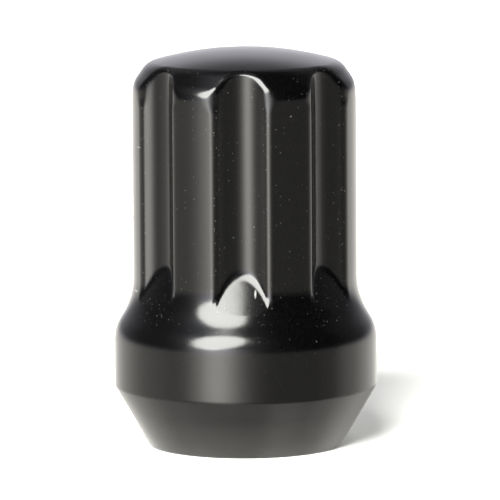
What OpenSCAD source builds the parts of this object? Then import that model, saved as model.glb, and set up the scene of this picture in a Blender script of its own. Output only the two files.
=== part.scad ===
// Closed-end wheel nut: domed crown, fluted shank, flared shoulder, round collar and conical seat.
// It stands on its open end. The end face lies on Z = 0, the axis is +Z and one flute faces -Y.
// All lengths are in millimetres and all angles in degrees.

/* [Shank and crown] */
// Diameter over the splines
shank_d = 22; // [18:0.1:26]
// Height from the end face to the top of the dome
height = 39.2; // [34:0.1:50]
// Height where the shank wall would meet the top chamfer
shank_top = 35.8; // [28:0.1:46]
// Slope of the top chamfer, from the axis
chamfer_angle = 36; // [25:1:55]
// Spherical radius of the dome
dome_r = 32.7; // [22:0.1:60]
// Rounding between shank wall and chamfer
chamfer_round = 2.6; // [0.5:0.1:4]
// Rounding between chamfer and dome
crown_round = 2.0; // [0.3:0.1:3]

/* [Collar and seat] */
// Collar diameter
collar_d = 25.8; // [23:0.1:32]
// Height where the collar wall would meet the shoulder
collar_top = 11.6; // [9:0.1:18]
// Slope of the shoulder, from the axis
shoulder_angle = 30.5; // [20:0.5:45]
// Rounding between collar and shoulder
collar_round = 4; // [0.5:0.1:6]
// Hollow fillet between shoulder and shank
shoulder_fillet = 7.5; // [1:0.1:10]
// Diameter of the open end face
end_d = 18.9; // [16:0.1:24]
// Included angle of the conical seat
seat_angle = 60; // [50:1:90]
// Rounding between seat and collar
seat_round = 0.7; // [0.1:0.1:2]
// Broken edge round the end face
end_round = 0.35; // [0.1:0.05:1]

/* [Splines] */
// Number of flutes round the shank
flute_count = 7; // [5:1:9]
// Depth of a flute below the shank surface
flute_depth = 1.5; // [0.8:0.05:2.2]
// Radius of the flute's hollow section
flute_r = 3.15; // [2:0.05:5]
// Rounding of the long edges of each flute
flute_edge = 0.8; // [0.1:0.05:1.2]
// Slope of the run-out at the foot of a flute, from the axis
runout_angle = 27; // [20:0.5:40]
// Height of the run-out above the shoulder, at the shank wall
runout_lift = 0.35; // [0.2:0.05:2]
// How far the run-out's own axis lies behind the nut's, which flattens its face
runout_back = 6; // [0:0.5:15]
// Fillet where a flute floor turns into its run-out
runout_fillet = 2.6; // [0.5:0.1:5]

/* [Threaded bore] */
// Thread size of the stud
thread_d = 14; // [10:0.5:16]
// Thread pitch
thread_pitch = 1.5; // [1:0.25:2]
// Straight length of the bore, from the end face
bore_depth = 28; // [15:0.5:32]
// Mouth diameter of the lead-in countersink
mouth_d = 15; // [12:0.1:17]
// Included angle of the bore's closed tip
tip_angle = 118; // [90:1:150]

/* [Hidden] */
$fn = 96;

shank_r = shank_d / 2;
collar_r = collar_d / 2;
end_r = end_d / 2;
seat_slope = seat_angle / 2;
seat_top = (collar_r - end_r) / tan(seat_slope);
shoulder_top = collar_top + (collar_r - shank_r) / tan(shoulder_angle);
dome_z = height - dome_r;

// Both roundings of the shoulder give way together where its slope is too short for them
wall_share = 0.95;
shoulder_run = (collar_r - shank_r) / sin(shoulder_angle);
shoulder_need = (collar_round + shoulder_fillet) * tan(shoulder_angle / 2);
shoulder_ease = min(1, wall_share * shoulder_run / shoulder_need);
collar_round_r = collar_round * shoulder_ease;
shoulder_fillet_r = shoulder_fillet * shoulder_ease;
shoulder_fillet_run = shoulder_fillet_r * tan(shoulder_angle / 2);
shank_foot = shoulder_top + shoulder_fillet_run;
// Flutes start where the shoulder's fillet does, so they leave the shoulder and the collar whole
flute_start = shoulder_top - shoulder_fillet_run * cos(shoulder_angle);

// Threads are cut in a plain hole of the tapping size
bore_r = (thread_d - thread_pitch) / 2;
mouth_r = mouth_d / 2;

// Roundings stand proud by this share of their radius, so that arcs and walls cross instead of just touching
proud = 0.003;
// Corner pieces reach this far past the corner they ease
overrun = 0.4;
// Cutters reach this far past the surface they open
past = 1;

flute_floor = shank_r - flute_depth;
flute_axis = flute_floor + flute_r;
edge_reach = flute_edge * (1 - proud);
edge_angle = acos(
    (pow(shank_r - edge_reach, 2) + pow(flute_axis, 2) - pow(flute_r + edge_reach, 2))
    / (2 * (shank_r - edge_reach) * flute_axis)
);
// The run-out's fillet starts this far inside the flute floor
runout_inset = 0.03;
runout_core = flute_floor - runout_inset;

function unit(a) = [cos(a), sin(a)];

// Centre of a rounding of radius r at corner p, between walls whose outward normals point at a and b
function round_centre(p, a, b, r, side) = p - side * r / cos((b - a) / 2) * unit((a + b) / 2);

// Point where a line at the chamfer's slope, radius wall_r at the shank top, meets a dome of radius ball_r
function crown_point(wall_r, ball_r) =
    let (
        t = tan(chamfer_angle),
        k = shank_top - dome_z,
        half_b = k - wall_r * t,
        a = 1 + t * t,
        rise = (-half_b + sqrt(half_b * half_b - a * (wall_r * wall_r + k * k - ball_r * ball_r))) / a
    )
    [wall_r - rise * t, shank_top + rise];

crown_edge = crown_point(shank_r, dome_r);
crown_centre = crown_point(shank_r - crown_round / cos(chamfer_angle), dome_r - crown_round);
crown_normal = atan2(crown_centre[1] - dome_z, crown_centre[0]);

// Corner piece that eases corner p with an arc: cut away at an outer corner (side 1), added at an inner one (side -1)
module corner_piece(p, centre, a, b, r, side) {
    mid = unit((a + b) / 2);
    difference() {
        polygon([
            centre + side * r * unit(a),
            p + side * overrun * mid,
            centre + side * r * unit(b)
        ]);
        translate(centre + side * r * proud * mid) circle(r = r);
    }
}

module eased_corner(p, a, b, r, side) {
    corner_piece(p, round_centre(p, a, b, r, side), a, b, r, side);
}

// Half section of the solid blank, without bore or flutes
module blank_section() {
    difference() {
        union() {
            polygon([
                [0, 0],
                [end_r, 0],
                [collar_r, seat_top],
                [collar_r, collar_top],
                [shank_r, shoulder_top],
                [shank_r, shank_top],
                crown_edge,
                [0, crown_edge[1]]
            ]);
            intersection() {
                translate([0, dome_z]) circle(r = dome_r);
                translate([0, crown_edge[1] - past]) square([crown_edge[0], height]);
            }
            eased_corner([shank_r, shoulder_top], 0, shoulder_angle, shoulder_fillet_r, -1);
        }
        eased_corner([end_r, 0], -90, -seat_slope, end_round, 1);
        eased_corner([collar_r, seat_top], -seat_slope, 0, seat_round, 1);
        eased_corner([collar_r, collar_top], 0, shoulder_angle, collar_round_r, 1);
        eased_corner([shank_r, shank_top], 0, chamfer_angle, chamfer_round, 1);
        corner_piece(crown_edge, crown_centre, chamfer_angle, crown_normal, crown_round, 1);
    }
}

// Half section of the blind bore with its countersunk mouth and drilled tip
module bore_section() {
    polygon([
        [0, -past],
        [mouth_r + past, -past],
        [bore_r, mouth_r - bore_r],
        [bore_r, bore_depth],
        [0, bore_depth + bore_r / tan(tip_angle / 2)]
    ]);
}

// Height of a cone with the run-out's slope where its radius is r, if it leaves the shank wall at height foot
function runout_z(r, foot) = foot + (shank_r - r) / tan(runout_angle);

// What is cut away to round over the two long edges of a flute that is centred on +X
module edge_section() {
    for (s = [-1, 1]) {
        edge = (shank_r - edge_reach) * unit(s * edge_angle);
        axis = [flute_axis, 0];
        land = shank_r * unit(s * edge_angle);
        wall = axis + flute_r / norm(edge - axis) * (edge - axis);
        difference() {
            polygon([land, land + past * unit(s * edge_angle), axis, wall]);
            translate(edge) circle(r = flute_edge);
        }
    }
}

// Solid that stops a flute: a cone just above the shoulder, filleted up into the flute floor
module runout() {
    foot = shoulder_top + runout_lift;
    rim = collar_r + past;
    core = runout_core + runout_back;
    core_top = runout_z(runout_core, foot);
    translate([-runout_back, 0, 0]) rotate_extrude() {
        polygon([
            [0, flute_start - past],
            [rim + runout_back, runout_z(rim, foot)],
            [core, core_top],
            [core, shank_top],
            [0, shank_top]
        ]);
        eased_corner([core, core_top], 0, runout_angle, runout_fillet, -1);
    }
}

// Solid that stops the rounding of the long edges where the shank starts to flare
module edge_stop() {
    rotate_extrude() polygon([
        [0, flute_start - past],
        [collar_r + past, runout_z(collar_r + past, shank_foot)],
        [0, runout_z(0, shank_foot)]
    ]);
}

module flute() {
    rise = height - flute_start + past;
    difference() {
        translate([flute_axis, 0, flute_start]) cylinder(h = rise, r = flute_r);
        runout();
    }
    difference() {
        translate([0, 0, flute_start]) linear_extrude(height = rise) edge_section();
        edge_stop();
    }
}

module lug_nut() {
    color([0.06, 0.06, 0.065])
    difference() {
        rotate_extrude() difference() {
            blank_section();
            bore_section();
        }
        for (i = [0 : flute_count - 1]) rotate(i * 360 / flute_count - 90) flute();
    }
}

lug_nut();
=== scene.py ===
import bmesh
import bpy
import math
from mathutils import Matrix, Vector


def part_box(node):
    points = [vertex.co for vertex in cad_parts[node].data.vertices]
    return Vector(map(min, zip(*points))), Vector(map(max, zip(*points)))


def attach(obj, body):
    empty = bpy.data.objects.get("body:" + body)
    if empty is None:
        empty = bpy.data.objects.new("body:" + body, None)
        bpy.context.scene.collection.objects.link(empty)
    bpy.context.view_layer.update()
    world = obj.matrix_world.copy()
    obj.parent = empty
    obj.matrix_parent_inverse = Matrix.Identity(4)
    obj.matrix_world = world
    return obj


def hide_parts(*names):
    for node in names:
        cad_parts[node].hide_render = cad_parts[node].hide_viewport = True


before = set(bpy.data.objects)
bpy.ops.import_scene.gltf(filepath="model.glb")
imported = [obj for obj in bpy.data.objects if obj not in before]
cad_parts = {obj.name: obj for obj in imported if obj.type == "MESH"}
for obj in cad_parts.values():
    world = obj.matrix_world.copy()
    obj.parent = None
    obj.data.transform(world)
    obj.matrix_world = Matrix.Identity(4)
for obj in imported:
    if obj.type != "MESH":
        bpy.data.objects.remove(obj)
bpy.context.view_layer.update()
nutLow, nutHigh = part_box("lug_nut")
mm = 0.001
print("frame: nut", [round(side / mm, 2) for side in nutHigh - nutLow], "mm")


# Limits for the mesh, in millimetres and degrees
meshLimits = {
    "merge": 1e-4,          # points this close become one
    "level": 1e-3,          # points this close to a height lie on it
    "point": 1e-5,          # as small as a point
    "zero": 1e-6,           # anything smaller counts as nothing
    "heightDigits": 4,      # decimals by which rows of the section are told apart
    "sharpEdge": 32,        # an edge that turns by more is left sharp
}

# Sizes of the nut in millimetres and degrees; the collar and the height come from the frame
nutForm = {
    "collarRadius": nutHigh.x / mm,
    "height": nutHigh.z / mm,
    "endRadius": 9.45,
    "endRound": 0.35,
    "seatSlope": 30,
    "seatRound": 0.7,
    "collarTop": 11.6,
    "collarRound": 4,
    "shoulderSlope": 30.5,
    "shoulderFillet": 7.5,
    "shankRadius": 11,
    "shankTop": 35.8,
    "chamferSlope": 36,
    "chamferRound": 2.6,
    "crownRound": 2,
    "domeRadius": 32.7,
    "faceRing": 8.4,        # the shell's mesh starts here on the end face
    "fineAbove": 8.5,       # its rows are fine up to this far above the collar
    "fineBelow": 2,         # and again from this far below the top chamfer
}

# Rows of the mesh along each stretch of the section, from the end face up to the pole
rowCounts = {
    "endFace": 2, "endRound": 4, "seat": 4, "seatRound": 6, "collar": 4, "collarRound": 18, "shoulder": 5,
    "shoulderFillet": 36, "runout": 24, "shank": 7, "underCrown": 12, "chamferRound": 16, "chamfer": 10,
    "crownRound": 16, "dome": 14,
}


def sectionVector(degrees):
    # unit vector in the section plane, measured from the radius towards the axis
    return Vector((math.cos(math.radians(degrees)), 0, math.sin(math.radians(degrees))))


def drawLine(bm, vert, end, rows):
    # draws on from a vertex to a point, in equal steps
    step = (Vector(end) - vert.co) / rows
    for row in range(rows):
        grown = bmesh.ops.extrude_vert_indiv(bm, verts=[vert])
        newVert = grown["verts"][0]
        bmesh.ops.translate(bm, verts=[newVert], vec=step)
        vert = newVert
    return vert


def drawArc(bm, vert, centre, turn, rows):
    # draws on from a vertex along an arc; a positive turn leans towards the axis
    swept = bmesh.ops.spin(
        bm, geom=[vert], cent=centre, axis=(0, 1, 0), angle=-math.radians(turn), steps=rows,
        use_merge=False, use_duplicate=False,
    )
    return next(item for item in swept["geom_last"] if isinstance(item, bmesh.types.BMVert))


def drawCorner(bm, vert, corner, rise, nextRise, radius, lineRows, arcRows):
    # straight up to a rounded corner, then round it; rise is the wall's slope before and after
    turn = nextRise - rise
    run = radius * math.tan(math.radians(abs(turn) / 2))
    start = Vector(corner) - sectionVector(rise) * run
    side = 90 if turn > 0 else -90
    vert = drawLine(bm, vert, start, lineRows)
    return drawArc(bm, vert, start + sectionVector(rise + side) * radius, turn, arcRows)


def drawSection(bm, form, rows):
    # the turned section of the nut, from the end face to the top of the dome
    collar, shank = form["collarRadius"], form["shankRadius"]
    seatRise = 90 - form["seatSlope"]
    shoulderRise = 90 + form["shoulderSlope"]
    chamferRise = 90 + form["chamferSlope"]
    seatTop = (collar - form["endRadius"]) * math.tan(math.radians(seatRise))
    shoulderTop = form["collarTop"] + (collar - shank) / math.tan(math.radians(form["shoulderSlope"]))

    vert = bm.verts.new((form["faceRing"], 0, 0))
    vert = drawCorner(bm, vert, (form["endRadius"], 0, 0), 0, seatRise, form["endRound"],
                      rows["endFace"], rows["endRound"])
    vert = drawCorner(bm, vert, (collar, 0, seatTop), seatRise, 90, form["seatRound"],
                      rows["seat"], rows["seatRound"])
    vert = drawCorner(bm, vert, (collar, 0, form["collarTop"]), 90, shoulderRise, form["collarRound"],
                      rows["collar"], rows["collarRound"])
    vert = drawCorner(bm, vert, (shank, 0, shoulderTop), shoulderRise, 90, form["shoulderFillet"],
                      rows["shoulder"], rows["shoulderFillet"])
    vert = drawLine(bm, vert, (shank, 0, form["collarTop"] + form["fineAbove"]), rows["runout"])
    vert = drawLine(bm, vert, (shank, 0, form["shankTop"] - form["fineBelow"]), rows["shank"])
    vert = drawCorner(bm, vert, (shank, 0, form["shankTop"]), 90, chamferRise, form["chamferRound"],
                      rows["underCrown"], rows["chamferRound"])

    # the crown's rounding touches the chamfer and the dome from inside
    domeCentre = Vector((0, 0, form["height"] - form["domeRadius"]))
    along, inward = sectionVector(chamferRise), sectionVector(chamferRise + 90)
    offset = Vector((shank, 0, form["shankTop"])) + inward * form["crownRound"] - domeCentre
    lean = offset.dot(along)
    reach = (form["domeRadius"] - form["crownRound"]) ** 2 - offset.length_squared
    crownCentre = domeCentre + offset + along * (math.sqrt(lean * lean + reach) - lean)
    outward = crownCentre - domeCentre
    domeEdge = math.degrees(math.atan2(outward.z, outward.x))
    vert = drawLine(bm, vert, crownCentre - inward * form["crownRound"], rows["chamfer"])
    vert = drawArc(bm, vert, crownCentre, domeEdge - form["chamferSlope"], rows["crownRound"])
    return drawArc(bm, vert, domeCentre, 90 - domeEdge, rows["dome"])


# The flutes: how they are cut, and how closely the mesh follows their edges
fluteForm = {
    "count": 7,
    "start": 13.06,         # height where the shoulder begins to curve up into the shank
    "depth": 1.5,
    "radius": 3.15,
    "edgeRound": 0.8,       # rounding of the long edges
    "footRound": 0.5,       # and of the same edges at the foot
    "footRise": (14.6, 16.8),
    "cornerRound": 1.45,    # and where they turn over the corners of the lands
    "archRound": 0.85,      # and round the top of the flute
    "cornerRise": (33.5, 35.2, 36.6),
    "runoutSlope": 27,      # slope of the run-out, from the axis
    "runoutTop": 18.12,     # height where the run-out would meet the flute floor
    "runoutAxis": 6,        # how far the run-out's own axis lies behind the nut's, which flattens its face
    "runoutFillet": 2.6,    # rounding between the flute and the run-out, at the middle
    "endFillet": 0.3,       # and where the run-out's ends come out on the shoulder
    "endAside": 3.2,        # how far those ends lie from the flute's middle
    "endFade": 4,           # how fast the fillet narrows on the way there
    "mostAlike": 0.999,     # limits for the cosine between two walls that are rounded together
    "leastAlike": -0.9,
    "searchBelow": 2,       # the skin is looked for down to this far under the flute floor
    "searchPasses": 3,      # tries at the walls' directions, and halvings in each
    "searchHalvings": 24,
    "wearReach": 0.45,      # how far wear spreads from the edges
    "columns": 24,          # mesh columns in half a flute pitch
    # share of the columns, and degrees from the flute's middle that they reach to
    "columnSpread": ((0, 0), (0.42, 11.6), (0.86, 17.4)),
}


def rolledMeeting(a, b, alike, radius):
    # meeting of two surfaces, given the distance from each, with the corner filled by a rolled ball
    offA, offB = radius - a, radius - b
    if offA <= alike * offB or offB <= alike * offA:
        return min(a, b)
    across = offA * offA + offB * offB - 2 * alike * offA * offB
    return radius - math.sqrt(across / (1 - alike * alike))


def hollowGap(radius, angle, height):
    # distance into the flute's hollow, which ends on the run-out; less than nothing in the metal
    slope = math.radians(fluteForm["runoutSlope"])
    floor = nutForm["shankRadius"] - fluteForm["depth"]
    out, aside = radius * math.cos(angle), radius * math.sin(angle)
    fluteAhead, runoutBehind = floor + fluteForm["radius"] - out, out + fluteForm["runoutAxis"]
    fromFlute, fromRunout = math.hypot(fluteAhead, aside), math.hypot(runoutBehind, aside)
    surface = floor + fluteForm["runoutAxis"] + (fluteForm["runoutTop"] - height) * math.tan(slope)
    runoutGap = (fromRunout - surface) * math.cos(slope)
    facing = fluteAhead * runoutBehind - aside * aside
    alike = math.cos(slope) * facing / max(fromFlute * fromRunout, meshLimits["zero"])
    alike = min(alike, fluteForm["mostAlike"])
    fromEnd = max(0, 1 - (aside / fluteForm["endAside"]) ** 2) ** fluteForm["endFade"]
    fillet = fluteForm["endFillet"] + (fluteForm["runoutFillet"] - fluteForm["endFillet"]) * fromEnd
    return rolledMeeting(fluteForm["radius"] - fromFlute, runoutGap, alike, fillet)


def edgeLikeness(radius, steep, angle, height):
    # how nearly the hollow's wall and the turned surface face the same way
    step = 0.01
    here = hollowGap(radius, angle, height)
    outward = (hollowGap(radius + step, angle, height) - here) / step
    upward = (hollowGap(radius, angle, height + step) - here) / step
    alike = outward * steep + upward * math.sqrt(1 - steep * steep)
    return max(fluteForm["leastAlike"], min(alike, fluteForm["mostAlike"]))


def easedShare(value, low, high):
    share = min(1, max(0, (value - low) / (high - low)))
    return share * share * (3 - 2 * share)


def edgeRounding(height):
    # the long edges are finer at the foot of the flute and rounder at the corners of the lands
    fromFoot = easedShare(height, *fluteForm["footRise"])
    foot = (fluteForm["footRound"] - fluteForm["edgeRound"]) * (1 - fromFoot)
    start, peak, end = fluteForm["cornerRise"]
    corner = (fluteForm["cornerRound"] - fluteForm["edgeRound"]) * easedShare(height, start, peak)
    arch = (fluteForm["archRound"] - fluteForm["cornerRound"]) * easedShare(height, peak, end)
    return fluteForm["edgeRound"] + foot + corner + arch


def flutedRadius(turned, steep, angle, height):
    # radius of the fluted skin on a ray where the turned blank has this radius and wall direction
    radius = turned
    rounding = edgeRounding(height)
    for tries in range(fluteForm["searchPasses"]):
        alike = edgeLikeness(radius, steep, angle, height)
        low, high = turned - fluteForm["depth"] - fluteForm["searchBelow"], turned
        for halving in range(fluteForm["searchHalvings"]):
            radius = (low + high) / 2
            depth = (turned - radius) * steep
            outside = rolledMeeting(depth, -hollowGap(radius, angle, height), alike, rounding) < 0
            low, high = (low, radius) if outside else (radius, high)
    return radius


def spreadAngle(share, halfPitch):
    # columns crowd together where the flute's edge runs
    stops = [*fluteForm["columnSpread"], (1, halfPitch)]
    for (shareA, angleA), (shareB, angleB) in zip(stops, stops[1:]):
        if share <= shareB + meshLimits["zero"]:
            return angleA + (angleB - angleA) * (share - shareA) / (shareB - shareA)
    return halfPitch


def rowKey(vert):
    return round(vert.co.z, meshLimits["heightDigits"])


def cutFlute(bm, steepness):
    # moves the plain turned half pitch onto the fluted skin; the flute's middle faces -Y
    halfPitch = 180 / fluteForm["count"]
    wear = bm.verts.layers.float.new("edgeWear")
    for vert in bm.verts:
        turned = math.hypot(vert.co.x, vert.co.y)
        if turned < meshLimits["zero"]:
            continue
        share = math.degrees(math.atan2(vert.co.x, -vert.co.y)) / halfPitch
        angle = math.radians(spreadAngle(share, halfPitch))
        radius = turned
        if vert.co.z > fluteForm["start"]:
            steep = steepness[rowKey(vert)]
            radius = flutedRadius(turned, steep, angle, vert.co.z)
            hollow = hollowGap(turned, angle, vert.co.z)
            vert[wear] = max(0, 1 - abs(hollow) / fluteForm["wearReach"])
        vert.co = (radius * math.sin(angle), -radius * math.cos(angle), vert.co.z)


def steepnessByHeight(bm):
    # how upright the wall stands at each row of the section
    steepness = {}
    for vert in bm.verts:
        ends = [edge.other_vert(vert).co for edge in vert.link_edges]
        along = ends[-1] - (ends[0] if len(ends) == 2 else vert.co)
        steepness[rowKey(vert)] = min(1, abs(along.z) / along.length)
    return steepness


def wholeMesh(bm):
    return [*bm.verts, *bm.edges, *bm.faces]


def makeShell(bm):
    # half a flute pitch is turned, cut, mirrored and then carried round
    drawSection(bm, nutForm, rowCounts)
    steepness = steepnessByHeight(bm)
    bmesh.ops.rotate(bm, verts=bm.verts, cent=(0, 0, 0), matrix=Matrix.Rotation(math.radians(-90), 3, "Z"))
    bmesh.ops.spin(
        bm, geom=[*bm.verts, *bm.edges], cent=(0, 0, 0), axis=(0, 0, 1),
        angle=math.pi / fluteForm["count"], steps=fluteForm["columns"],
        use_merge=False, use_duplicate=False,
    )
    cutFlute(bm, steepness)
    bmesh.ops.mirror(bm, geom=wholeMesh(bm), axis="X", merge_dist=meshLimits["merge"])
    copies = fluteForm["count"] - 1
    bmesh.ops.spin(
        bm, geom=wholeMesh(bm), cent=(0, 0, 0), axis=(0, 0, 1),
        angle=2 * math.pi * copies / fluteForm["count"], steps=copies,
        use_merge=False, use_duplicate=True,
    )
    bmesh.ops.remove_doubles(bm, verts=bm.verts, dist=meshLimits["merge"])


# The thread and the blind bore, in millimetres and degrees
threadForm = {
    "majorRadius": 7,
    "minorRadius": 6.25,
    "pitch": 1.5,
    "rootFlat": 0.19,
    "flank": 0.433,         # run of a 30 degree flank along the axis
    "stepsPerTurn": 72,
    "spareTurns": 2,        # turns swept below the mouth and cut off again
    "mouthRadius": 7.5,
    "threadTop": 25.2,
    "boreDepth": 28,
    "tipAngle": 118,
}


def setRadius(vert, radius, height=None):
    # keeps a vertex on its ray from the axis
    scale = radius / math.hypot(vert.co.x, vert.co.y)
    vert.co = (vert.co.x * scale, vert.co.y * scale, vert.co.z if height is None else height)


def openLoop(bm, height):
    # boundary edges that lie at one height
    return [
        edge for edge in bm.edges
        if edge.is_boundary and all(abs(vert.co.z - height) < meshLimits["level"] for vert in edge.verts)
    ]


def growLoop(bm, edges, radius, height):
    # extrudes a round boundary to a new radius and height
    grown = bmesh.ops.extrude_edge_only(bm, edges=edges)["geom"]
    for vert in (item for item in grown if isinstance(item, bmesh.types.BMVert)):
        setRadius(vert, radius, height)
    return [item for item in grown if isinstance(item, bmesh.types.BMEdge)]


def makeThread(form):
    # right-hand thread swept as one helix, cut to length, then closed by a drilled tip
    bm = bmesh.new()
    major, minor, pitch, flank = form["majorRadius"], form["minorRadius"], form["pitch"], form["flank"]
    start = -form["spareTurns"] * pitch
    vert = bm.verts.new((minor, 0, start))
    for radius, rise in ((major, flank), (major, form["rootFlat"]), (minor, flank)):
        vert = drawLine(bm, vert, (radius, 0, vert.co.z + rise), 1)
    drawLine(bm, vert, (minor, 0, start + pitch), 1)
    turns = math.ceil(form["threadTop"] / pitch) + form["spareTurns"]
    bmesh.ops.spin(
        bm, geom=[*bm.verts, *bm.edges], cent=(0, 0, 0), axis=(0, 0, 1), angle=2 * math.pi * turns,
        steps=turns * form["stepsPerTurn"], dvec=(0, 0, pitch / form["stepsPerTurn"]),
        use_merge=False, use_duplicate=False,
    )
    bmesh.ops.remove_doubles(bm, verts=bm.verts, dist=meshLimits["merge"])
    mouthHeight = form["mouthRadius"] - major
    for height, away in ((mouthHeight, -1), (form["threadTop"], 1)):
        bmesh.ops.bisect_plane(
            bm, geom=wholeMesh(bm), dist=meshLimits["point"],
            plane_co=(0, 0, height), plane_no=(0, 0, away), clear_outer=True,
        )
    # the countersink opens the first turns and the last turn fades into the drilled hole
    for vert in bm.verts:
        radius = math.hypot(vert.co.x, vert.co.y)
        countersink = form["mouthRadius"] - vert.co.z
        fade = minor + (form["threadTop"] - vert.co.z) * (major - minor) / pitch
        setRadius(vert, max(min(radius, fade), countersink))
    growLoop(bm, openLoop(bm, mouthHeight), form["mouthRadius"], 0)
    hole = growLoop(bm, openLoop(bm, form["threadTop"]), minor, form["boreDepth"])
    tip = form["boreDepth"] + minor / math.tan(math.radians(form["tipAngle"] / 2))
    growLoop(bm, hole, meshLimits["point"], tip)
    bmesh.ops.remove_doubles(bm, verts=bm.verts, dist=meshLimits["merge"])
    return bm


def makeNut():
    bm = bmesh.new()
    makeShell(bm)
    print("shell:", len(bm.faces), "faces")
    threadMesh = bpy.data.meshes.new("threadMesh")
    thread = makeThread(threadForm)
    thread.to_mesh(threadMesh)
    thread.free()
    print("thread:", len(threadMesh.polygons), "faces")
    bm.from_mesh(threadMesh)
    bpy.data.meshes.remove(threadMesh)
    bmesh.ops.bridge_loops(bm, edges=openLoop(bm, 0))
    bmesh.ops.recalc_face_normals(bm, faces=bm.faces)
    for face in bm.faces:
        face.smooth = True
    sharpEdge = math.radians(meshLimits["sharpEdge"])
    for edge in bm.edges:
        edge.smooth = edge.calc_face_angle(0) < sharpEdge
    bmesh.ops.scale(bm, verts=bm.verts, vec=(mm, mm, mm))
    openEdges = sum(1 for edge in bm.edges if len(edge.link_faces) != 2)
    print("nut:", len(bm.faces), "faces,", openEdges, "open edges, volume",
          round(bm.calc_volume(signed=True) / mm ** 3, 1), "mm3")
    mesh = bpy.data.meshes.new("nutBody")
    bm.to_mesh(mesh)
    bm.free()
    nut = bpy.data.objects.new("nutBody", mesh)
    bpy.context.scene.collection.objects.link(nut)
    return nut


def addNode(tree, kind, **settings):
    node = tree.nodes.new(kind)
    for name, value in settings.items():
        setattr(node, name, value)
    return node


def feed(tree, socket, value):
    # a socket takes either a link or a plain number
    if isinstance(value, bpy.types.NodeSocket):
        tree.links.new(value, socket)
    else:
        socket.default_value = value


def addMath(tree, operation, *values):
    node = addNode(tree, "ShaderNodeMath", operation=operation)
    for socket, value in zip(node.inputs, values):
        feed(tree, socket, value)
    return node.outputs["Value"]


def addRange(tree, value, low, high, toLow=0, toHigh=1, smooth=False):
    node = addNode(tree, "ShaderNodeMapRange", interpolation_type="SMOOTHSTEP" if smooth else "LINEAR")
    for socket, number in zip(node.inputs, (value, low, high, toLow, toHigh)):
        feed(tree, socket, number)
    return node.outputs["Result"]


def addBell(tree, value, middle, width):
    # a bell curve that is 1 at the middle
    off = addMath(tree, "DIVIDE", addMath(tree, "SUBTRACT", value, middle), width)
    square = addMath(tree, "MULTIPLY", off, off)
    return addMath(tree, "EXPONENT", addMath(tree, "MULTIPLY", square, -0.5))


# The coat: near black, with a little grain, dust and wear, and a painted sheen towards the seat's open
# end; lengths in millimetres
coatLook = {
    "black": (0.0002, 0.0002, 0.0003, 1),
    "grain": (0.0016, 0.0016, 0.0015, 1),       # palest part of the fine grain
    "grainSize": 0.16,
    "grainDetail": (3, 0.7),    # detail and roughness of its noise
    "grainRange": (0.4, 0.72),  # noise values between which it pales
    "dust": (0.042, 0.041, 0.038, 1),
    "dustRise": (11, 13),       # the upper parts gather more dust than the collar and the seat
    "lowDust": 0.4,
    # dust by spacing, dot radius as a share of it, share of the places that have a dot, and strength
    "dustLayers": (
        {"spacing": 0.42, "dot": 0.12, "share": 0.55, "strength": 0.62},
        {"spacing": 1.2, "dot": 0.06, "share": 0.4, "strength": 0.8},
    ),
    "edgeDust": {"spacing": 0.24, "dot": 0.2, "share": 0.45, "strength": 0.9},
    "edgeRange": (0.1, 0.5),    # amounts of wear between which the edge dust comes in
    "worn": (0.2, 0.2, 0.195, 1),
    # small chips by place and half size
    "marks": (
        {"place": (1.27, -10.38, 16.3), "size": (0.11, 0.6, 0.44), "strength": 1},
        {"place": (-10.63, -3.2, 15.64), "size": (0.34, 0.8, 0.13), "strength": 0.6},
        {"place": (-10.24, -4, 29.9), "size": (0.34, 0.8, 0.07), "strength": 0.4},
    ),
    # painted sheen: a paler colour towards the seat's open end, standing in for the reflection of the
    # bright floor near the base
    "footPaintedSheen": (0.019, 0.019, 0.018, 1),
    "footRise": (4, 0.3),       # heights between which the painted sheen comes in, towards the seat's open end
    "roughness": (0.14, 0.19),
    "patchSize": 3.5,           # smoother and duller patches
    "patchRange": (0.3, 0.7),
    "peelSize": 0.8,
    "peelDetail": (3, 0.45),
    "peelDepth": 0.0034,
    "boreSteel": (0.09, 0.087, 0.083, 1),
    "boreRoughness": 0.36,
    "boreEdge": (7.35, 7.6),    # radii between which the bore's steel gives way to the coat
    "boreTop": (33, 34),        # and heights
    "steelSize": 0.9,
    "steelDetail": 3,
}


def addNoise(tree, place, size, detail=2, roughness=0.5):
    noise = addNode(tree, "ShaderNodeTexNoise")
    feed(tree, noise.inputs["Vector"], place)
    feed(tree, noise.inputs["Scale"], 1 / (size * mm))
    feed(tree, noise.inputs["Detail"], detail)
    feed(tree, noise.inputs["Roughness"], roughness)
    return noise.outputs["Fac"]


def addDots(tree, place, layer):
    # round dots of uneven size in some cells of a scattered grid
    cells = addNode(tree, "ShaderNodeTexVoronoi")
    feed(tree, cells.inputs["Vector"], place)
    feed(tree, cells.inputs["Scale"], 1 / (layer["spacing"] * mm))
    chance = addNode(tree, "ShaderNodeSeparateColor")
    feed(tree, chance.inputs["Color"], cells.outputs["Color"])
    largest, softEdge = 1.6, 0.5        # shares of the dot radius
    size = addRange(tree, chance.outputs["Red"], 1 - layer["share"], 1, 0, layer["dot"] * largest)
    near = addMath(tree, "SUBTRACT", size, cells.outputs["Distance"])
    dot = addRange(tree, near, 0, layer["dot"] * softEdge)
    return addMath(tree, "MULTIPLY", dot, layer["strength"])


def addMark(tree, place, mark):
    # a small soft spot at one place
    offset = addNode(tree, "ShaderNodeVectorMath", operation="SUBTRACT")
    feed(tree, offset.inputs[0], place)
    feed(tree, offset.inputs[1], [side * mm for side in mark["place"]])
    share = addNode(tree, "ShaderNodeVectorMath", operation="DIVIDE")
    feed(tree, share.inputs[0], offset.outputs["Vector"])
    feed(tree, share.inputs[1], [side * mm for side in mark["size"]])
    length = addNode(tree, "ShaderNodeVectorMath", operation="LENGTH")
    feed(tree, length.inputs[0], share.outputs["Vector"])
    rim, core = 1.2, 0.5        # shares of the half size
    return addRange(tree, length.outputs["Value"], rim, core, 0, mark["strength"])


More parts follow.
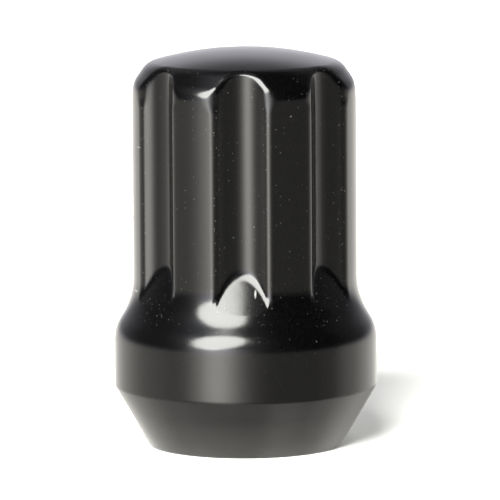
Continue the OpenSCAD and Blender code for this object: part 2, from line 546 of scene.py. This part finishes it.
def mixColour(tree, factor, below, above):
    mix = addNode(tree, "ShaderNodeMix", data_type="RGBA")
    for name, value in (("Factor_Float", factor), ("A_Color", below), ("B_Color", above)):
        feed(tree, next(socket for socket in mix.inputs if socket.identifier == name), value)
    return next(socket for socket in mix.outputs if socket.identifier == "Result_Color")


def makeBlackCoat(look):
    material = bpy.data.materials.new("blackCoat")
    material.use_nodes = True
    tree = material.node_tree
    shader = tree.nodes["Principled BSDF"]
    place = addNode(tree, "ShaderNodeTexCoord").outputs["Object"]
    wear = addNode(tree, "ShaderNodeAttribute", attribute_name="edgeWear").outputs["Fac"]

    grain = addNoise(tree, place, look["grainSize"], *look["grainDetail"])
    grain = addRange(tree, grain, *look["grainRange"])
    colour = mixColour(tree, grain, look["black"], look["grain"])
    wornEdge = addRange(tree, wear, *look["edgeRange"])
    dust = addMath(tree, "MULTIPLY", addDots(tree, place, look["edgeDust"]), wornEdge)
    for layer in look["dustLayers"]:
        dust = addMath(tree, "MAXIMUM", dust, addDots(tree, place, layer))
    split = addNode(tree, "ShaderNodeSeparateXYZ")
    feed(tree, split.inputs["Vector"], place)
    height = split.outputs["Z"]
    low, high = (level * mm for level in look["dustRise"])
    dust = addMath(tree, "MULTIPLY", dust, addRange(tree, height, low, high, look["lowDust"], 1))
    foot = addRange(tree, height, *(level * mm for level in look["footRise"]))
    # painted sheen: the seat pales towards its open end, in place of the bright floor that it mirrors near
    # the base
    colour = mixColour(tree, foot, colour, look["footPaintedSheen"])
    colour = mixColour(tree, dust, colour, look["dust"])
    worn = 0.0
    for mark in look["marks"]:
        worn = addMath(tree, "MAXIMUM", worn, addMark(tree, place, mark))
    colour = mixColour(tree, worn, colour, look["worn"])

    # the bore is bare, oiled steel
    squares = [addMath(tree, "POWER", split.outputs[side], 2.0) for side in ("X", "Y")]
    across = addMath(tree, "SQRT", addMath(tree, "ADD", *squares))
    inner, outer = (edge * mm for edge in look["boreEdge"])
    inside = addRange(tree, across, outer, inner)
    low, high = (level * mm for level in look["boreTop"])
    below = addRange(tree, height, high, low)
    bore = addMath(tree, "MULTIPLY", inside, below)
    steel = addNoise(tree, place, look["steelSize"], look["steelDetail"])
    steelColour = mixColour(tree, steel, look["black"], look["boreSteel"])
    feed(tree, shader.inputs["Base Color"], mixColour(tree, bore, colour, steelColour))

    smooth, dull = look["roughness"]
    patchy = addRange(tree, addNoise(tree, place, look["patchSize"]), *look["patchRange"], smooth, dull)
    extra = addMath(tree, "MULTIPLY", bore, addMath(tree, "SUBTRACT", look["boreRoughness"], patchy))
    feed(tree, shader.inputs["Roughness"], addMath(tree, "ADD", patchy, extra))
    bump = addNode(tree, "ShaderNodeBump")
    feed(tree, bump.inputs["Distance"], look["peelDepth"] * mm)
    feed(tree, bump.inputs["Height"], addNoise(tree, place, look["peelSize"], *look["peelDetail"]))
    feed(tree, shader.inputs["Normal"], bump.outputs["Normal"])
    print("coat:", len(tree.nodes), "nodes")
    return material


nutBody = makeNut()
nutBody.data.materials.append(makeBlackCoat(coatLook))
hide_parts("lug_nut")
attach(nutBody, "root")


# A pale paper floor, in metres; the coat mirrors the room's own lower half in its place,
# so the paper isn't seen in the gloss
floorLook = {
    "size": 4,
    "drop": 0.00002,
    "colour": (0.86, 0.86, 0.85, 1),
    "roughness": 1,
    "specular": 0,
}


def makeFloor(look):
    bm = bmesh.new()
    bmesh.ops.create_grid(bm, x_segments=1, y_segments=1, size=look["size"])
    bmesh.ops.translate(bm, verts=bm.verts, vec=(0, 0, -look["drop"]))
    mesh = bpy.data.meshes.new("floor")
    bm.to_mesh(mesh)
    bm.free()
    floor = bpy.data.objects.new("floor", mesh)
    bpy.context.scene.collection.objects.link(floor)
    material = bpy.data.materials.new("paleFloor")
    material.use_nodes = True
    shader = material.node_tree.nodes["Principled BSDF"]
    shader.inputs["Base Color"].default_value = look["colour"]
    shader.inputs["Roughness"].default_value = look["roughness"]
    shader.inputs["Specular IOR Level"].default_value = look["specular"]
    mesh.materials.append(material)
    floor.visible_glossy = False


makeFloor(floorLook)


# The camera as fitted to the nut's outline, in metres and degrees; lens and sensor in millimetres
cameraPlace = {
    "turn": 1.7,
    "distance": 0.65,
    "height": 0.1069,
    "aside": 0.000468,
    "tiltDown": 7.683,
    "roll": -0.35,
    "lens": 480.46,
    "sensor": 36,
    "clipStart": 0.01,
}


def makeCamera(place):
    camera = bpy.data.objects.new("camera", bpy.data.cameras.new("camera"))
    bpy.context.scene.collection.objects.link(camera)
    camera.data.sensor_width = place["sensor"]
    camera.data.lens = place["lens"]
    camera.data.clip_start = place["clipStart"]
    turn = Matrix.Rotation(math.radians(place["turn"]), 4, "Z")
    stand = Matrix.Translation((place["aside"], -place["distance"], place["height"]))
    tilt = Matrix.Rotation(math.radians(90 - place["tiltDown"]), 4, "X")
    roll = Matrix.Rotation(math.radians(place["roll"]), 4, "Z")
    camera.matrix_world = turn @ stand @ tilt @ roll
    bpy.context.scene.camera = camera


makeCamera(cameraPlace)


# One oval soft box in front on the left for the gloss, and two fills for the floor and the dust
softBox = {
    "azimuth": -24.8,       # degrees from -Y, to the right
    "elevation": 30.1,
    "distance": 3,
    "wide": 47,             # how long and broad it looks from the nut
    "narrow": 36.5,
    "lean": 35,             # its long side leans up to the right
    "radiance": 19,
    "aim": (0, 0, 0.015),
}

frontFill = {
    "azimuth": -15,
    "elevation": 34.5,
    "distance": 3,
    "wide": 29,
    "narrow": 25,
    "lean": 0,
    "radiance": 64,
    "aim": (0, 0, 0),
}

sideFill = {
    "azimuth": 72,
    "elevation": 52,
    "distance": 2,
    "wide": 45,
    "narrow": 45,
    "lean": 0,
    "radiance": 3.4,
    "aim": (0, 0, 0),
}

lightTint = (1, 1, 0.955)


def seenSize(degrees, distance):
    # length that looks this large from the nut
    return 2 * distance * math.tan(math.radians(degrees / 2))


def makeLight(name, form):
    # an oval area light, turned to its aim
    azimuth, elevation = math.radians(form["azimuth"]), math.radians(form["elevation"])
    level = math.cos(elevation)
    away = Vector((math.sin(azimuth) * level, -math.cos(azimuth) * level, math.sin(elevation)))
    aim = Vector(form["aim"])
    place = aim + away * form["distance"]
    wide, narrow = (seenSize(form[side], form["distance"]) for side in ("wide", "narrow"))
    light = bpy.data.lights.new(name, "AREA")
    light.shape = "ELLIPSE"
    light.size, light.size_y = wide, narrow
    light.energy = form["radiance"] * math.pi * math.pi * wide * narrow / 4     # watts for the oval
    light.color = lightTint
    lamp = bpy.data.objects.new(name, light)
    lamp.location = place
    lamp.rotation_mode = "QUATERNION"
    facing = (aim - place).to_track_quat("-Z", "Y")
    lamp.rotation_quaternion = facing @ Matrix.Rotation(math.radians(form["lean"]), 3, "Z").to_quaternion()
    lamp.visible_camera = False
    bpy.context.scene.collection.objects.link(lamp)
    return lamp


makeLight("softBox", softBox).visible_diffuse = False
makeLight("frontFill", frontFill).visible_glossy = False
makeLight("sideFill", sideFill).visible_glossy = False


# The room as the coat mirrors it, in degrees and in shares of the paper's white
roomLook = {
    # levels by direction, in degrees from -Y to the right
    "floorLevels": ((-180, 1.6), (-130, 1.45), (-90, 1.05), (-60, 0.85), (0, 0.68), (30, 0.41), (62, 0.38),
                    (80, 0.47), (105, 1.15), (130, 1.58), (180, 1.6)),
    "underLevels": ((-180, 1.6), (-95, 1.9), (-68, 1.4), (-30, 1.0), (25, 1.1), (60, 1.8), (80, 2.1),
                    (110, 2), (180, 1.5)),
    "wallLevels": ((-180, 0.26), (-140, 0.26), (-105, 0.12), (-55, 0.13), (0, 0.2), (35, 0.04), (60, 0.02),
                   (85, 0.03), (110, 0.12), (180, 0.26)),
    "topLevels": ((-180, 0.08), (-120, 0.25), (-60, 0.6), (-20, 0.5), (15, 0.06), (60, 0.02), (120, 0.05),
                  (180, 0.08)),
    # elevations over which one of these gives way to the next
    "underRise": (-45, -72),
    "wallRise": (-5, 5),
    "topRise": (52, 66),
    "floorTint": (1.025, 1, 0.94, 1),
    "wallTint": (1, 0.985, 1.06, 1),
    "shade": 0.66,          # the nut's own shadow on the floor, behind it on the right
    "shadePlace": 12,       # degrees from straight behind
    "shadeWidth": 15,
    "shadeRise": (-8.5, -13),
    "backGlow": 0.75,       # bright paper behind the nut
    "backWidth": 22,
    "backRise": (37, 20),
    "streak": 6.3,          # light that the soft box throws along the floor
    "streakPlace": -23.6,
    "streakWidth": 13,
    "streakRise": (18, 10),
    "streakFade": 1.05,     # how fast it fades on the way down
    "halo": 1,              # haze beside the soft box, on its left
    "haloPlace": (-38, 42),
    "haloWidth": (18.2, 13),
    "haloTint": (0.88, 0.97, 1.12, 1),
}


def addLevels(tree, degrees, levels):
    # brightness by direction, eased between a few stops
    top = max(level for stop, level in levels)
    ramp = addNode(tree, "ShaderNodeValToRGB")
    ramp.color_ramp.interpolation = "EASE"
    elements = ramp.color_ramp.elements
    while len(elements) < len(levels):
        elements.new(1)
    for element, (stop, level) in zip(elements, levels):
        element.position = (stop + 180) / 360
        element.color = (level / top, level / top, level / top, 1)
    feed(tree, ramp.inputs["Fac"], addRange(tree, degrees, -180, 180))
    return addMath(tree, "MULTIPLY", ramp.outputs["Color"], top)


def addBlend(tree, share, before, after):
    return addMath(tree, "MULTIPLY_ADD", share, addMath(tree, "SUBTRACT", after, before), before)


def makeRoom(look):
    world = bpy.data.worlds.new("room")
    world.use_nodes = True
    bpy.context.scene.world = world
    tree = world.node_tree
    place = addNode(tree, "ShaderNodeTexCoord")
    split = addNode(tree, "ShaderNodeSeparateXYZ")
    feed(tree, split.inputs["Vector"], place.outputs["Generated"])
    east, north, up = split.outputs
    around = addMath(tree, "DEGREES", addMath(tree, "ARCTAN2", east, addMath(tree, "MULTIPLY", north, -1)))
    fromBack = addMath(tree, "DEGREES", addMath(tree, "ARCTAN2", east, north))
    elevation = addMath(tree, "DEGREES", addMath(tree, "ARCSINE", up))

    floorPart = addLevels(tree, around, look["floorLevels"])
    underPart = addLevels(tree, around, look["underLevels"])
    isUnder = addRange(tree, elevation, *look["underRise"], smooth=True)
    floorPart = addBlend(tree, isUnder, floorPart, underPart)
    shade = addBell(tree, fromBack, look["shadePlace"], look["shadeWidth"])
    shade = addMath(tree, "MULTIPLY", shade, addRange(tree, elevation, *look["shadeRise"], smooth=True))
    shade = addMath(tree, "MULTIPLY", shade, addMath(tree, "MULTIPLY", floorPart, -look["shade"]))
    floorPart = addMath(tree, "ADD", floorPart, shade)

    wallPart = addLevels(tree, around, look["wallLevels"])
    topPart = addLevels(tree, around, look["topLevels"])
    isTop = addRange(tree, elevation, *look["topRise"], smooth=True)
    wallPart = addBlend(tree, isTop, wallPart, topPart)
    glow = addBell(tree, fromBack, 0, look["backWidth"])
    glow = addMath(tree, "MULTIPLY", glow, addRange(tree, elevation, *look["backRise"], smooth=True))
    wallPart = addMath(tree, "MULTIPLY_ADD", glow, look["backGlow"], wallPart)
    isWall = addRange(tree, elevation, *look["wallRise"], smooth=True)
    level = addBlend(tree, isWall, floorPart, wallPart)

    streakDown = addRange(tree, up, -1 / look["streakFade"], 0)
    streakUp = addRange(tree, elevation, *look["streakRise"], smooth=True)
    streakAround = addBell(tree, around, look["streakPlace"], look["streakWidth"])
    streak = addMath(tree, "MULTIPLY", addMath(tree, "MULTIPLY", streakDown, streakUp), streakAround)
    level = addMath(tree, "MULTIPLY_ADD", streak, look["streak"], level)

    haloAround = addBell(tree, around, look["haloPlace"][0], look["haloWidth"][0])
    haloUp = addBell(tree, elevation, look["haloPlace"][1], look["haloWidth"][1])
    halo = addMath(tree, "MULTIPLY", haloAround, haloUp)
    level = addMath(tree, "MULTIPLY_ADD", halo, look["halo"], level)

    # a ray straight from the camera sees plain white past the floor's edge
    fromCamera = addNode(tree, "ShaderNodeLightPath").outputs["Is Camera Ray"]
    shown = addNode(tree, "ShaderNodeMix")
    feed(tree, shown.inputs["Factor"], fromCamera)
    feed(tree, shown.inputs["A"], level)
    feed(tree, shown.inputs["B"], 1.0)
    background = tree.nodes["Background"]
    tint = mixColour(tree, isWall, look["floorTint"], look["wallTint"])
    tint = mixColour(tree, halo, tint, look["haloTint"])
    feed(tree, background.inputs["Color"], mixColour(tree, fromCamera, tint, (1, 1, 1, 1)))
    feed(tree, background.inputs["Strength"], shown.outputs["Result"])


makeRoom(roomLook)
bpy.context.scene.view_settings.view_transform = "Standard"
print("stage: floor, camera, soft box, fills and room")
